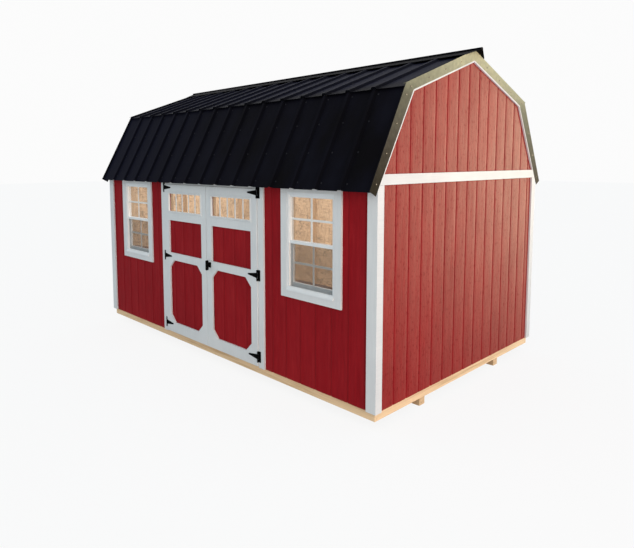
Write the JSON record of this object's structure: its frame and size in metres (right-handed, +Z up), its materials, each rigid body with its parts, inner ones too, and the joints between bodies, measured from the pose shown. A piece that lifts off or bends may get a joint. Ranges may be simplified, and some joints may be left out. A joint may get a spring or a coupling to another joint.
{
  "type": "portable gambrel barn",
  "caption": "Red portable barn on skids with white trim, double doors between two single-hung windows, and a black ribbed gambrel roof.",
  "frame": {"origin": "on the ground under the middle of the barn, at the skids' undersides", "axes": "+X along the ridge to the right as seen from in front of the doors, -Y out of the door front, +Z up"},
  "size_m": [5.093, 3.336, 3.482],
  "materials": {
    "treated_lumber": "rough sawn",
    "plywood": "matte",
    "framing_lumber": "planed",
    "black_roof_metal": "satin",
    "tan_rake_metal": "satin",
    "red_siding": "satin paint",
    "clear_glass": "clear",
    "white_vinyl": "satin",
    "insect_screen": "matte",
    "black_hardware": "satin",
    "white_trim": "satin paint"
  },
  "bodies": {
    "barn": {"back_lower_roof": "black_roof_metal", "back_siding": "red_siding", "back_upper_roof": "black_roof_metal", "bottom_plates": "framing_lumber", "door_casing": "white_trim", "floor_deck": "plywood", "floor_joists": "treated_lumber", "front_lower_roof": "black_roof_metal", "front_siding_left": "red_siding", "front_siding_over_door": "red_siding", "front_siding_right": "red_siding", "front_upper_roof": "black_roof_metal", "gable_studs": "framing_lumber", "hinge_plates": "black_hardware", "left_gable_siding": "red_siding", "left_gable_trim": "white_trim", "left_rake_flashing": "tan_rake_metal", "lower_rafters": "framing_lumber", "lower_roof_deck": "plywood", "opening_headers": "framing_lumber", "rafter_gussets": "plywood", "ridge_board": "framing_lumber", "ridge_cap": "black_roof_metal", "right_gable_siding": "red_siding", "right_gable_trim": "white_trim", "right_rake_flashing": "tan_rake_metal", "rim_joists": "treated_lumber", "side_corner_boards": "white_trim", "side_wall_studs": "framing_lumber", "skids": "treated_lumber", "top_plates": "framing_lumber", "upper_rafters": "framing_lumber", "upper_roof_deck": "plywood", "window_casings": "white_trim", "window_frames": "white_vinyl", "window_glass": "clear_glass", "window_screens": "insect_screen"},
    "left_door": {"left_door_backing": "framing_lumber", "left_door_boards": "white_trim", "left_door_light": "clear_glass", "left_door_panel": "red_siding", "left_door_straps": "black_hardware"},
    "right_door": {"right_door_backing": "framing_lumber", "right_door_boards": "white_trim", "right_door_light": "clear_glass", "right_door_panel": "red_siding", "right_door_straps": "black_hardware", "door_latch": "black_hardware"}
  },
  "joints": [
    {"name": "left_door_hinge", "type": "hinge", "parent": "barn", "child": "left_door", "pos_m": [-0.914, -1.571, 1], "axis": [0, 0, -1], "range_deg": [0, 170]},
    {"name": "right_door_hinge", "type": "hinge", "parent": "barn", "child": "right_door", "pos_m": [0.914, -1.571, 1], "axis": [0, 0, 1], "range_deg": [0, 170]}
  ]
}
